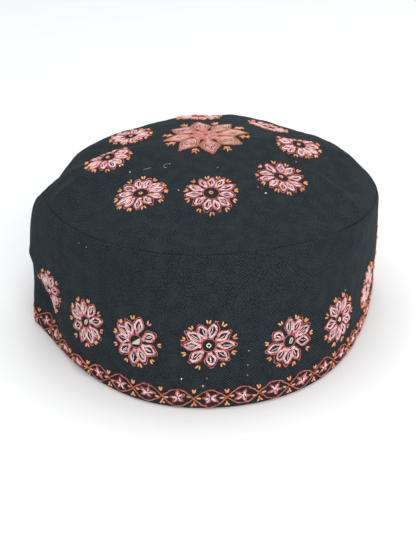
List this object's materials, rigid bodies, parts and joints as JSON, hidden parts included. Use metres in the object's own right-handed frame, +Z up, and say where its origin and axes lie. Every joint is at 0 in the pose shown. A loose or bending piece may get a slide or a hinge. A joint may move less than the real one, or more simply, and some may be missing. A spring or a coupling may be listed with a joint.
{
  "type": "embroidered brimless cap",
  "caption": "Soft brimless cap: an oval domed crown sewn to an upright side band with a turned-up hem, open below for the head.",
  "frame": {"origin": "middle of the cap's underside, on the surface that its rim stands on", "axes": "+Z up through the crown, -Y towards the front of the cap, +X to the right of someone who faces that front; the long way of the head runs along Y"},
  "size_m": [0.1692, 0.2006, 0.0855],
  "materials": {
    "crown_twill": "matt dark cotton twill with rosettes hand embroidered in stranded cotton",
    "band_twill": "matt dark cotton twill with rosettes and a twisted border hand embroidered in stranded cotton"
  },
  "bodies": {
    "root": {"crown": "crown_twill", "side_band": "band_twill"}
  },
  "joints": []
}
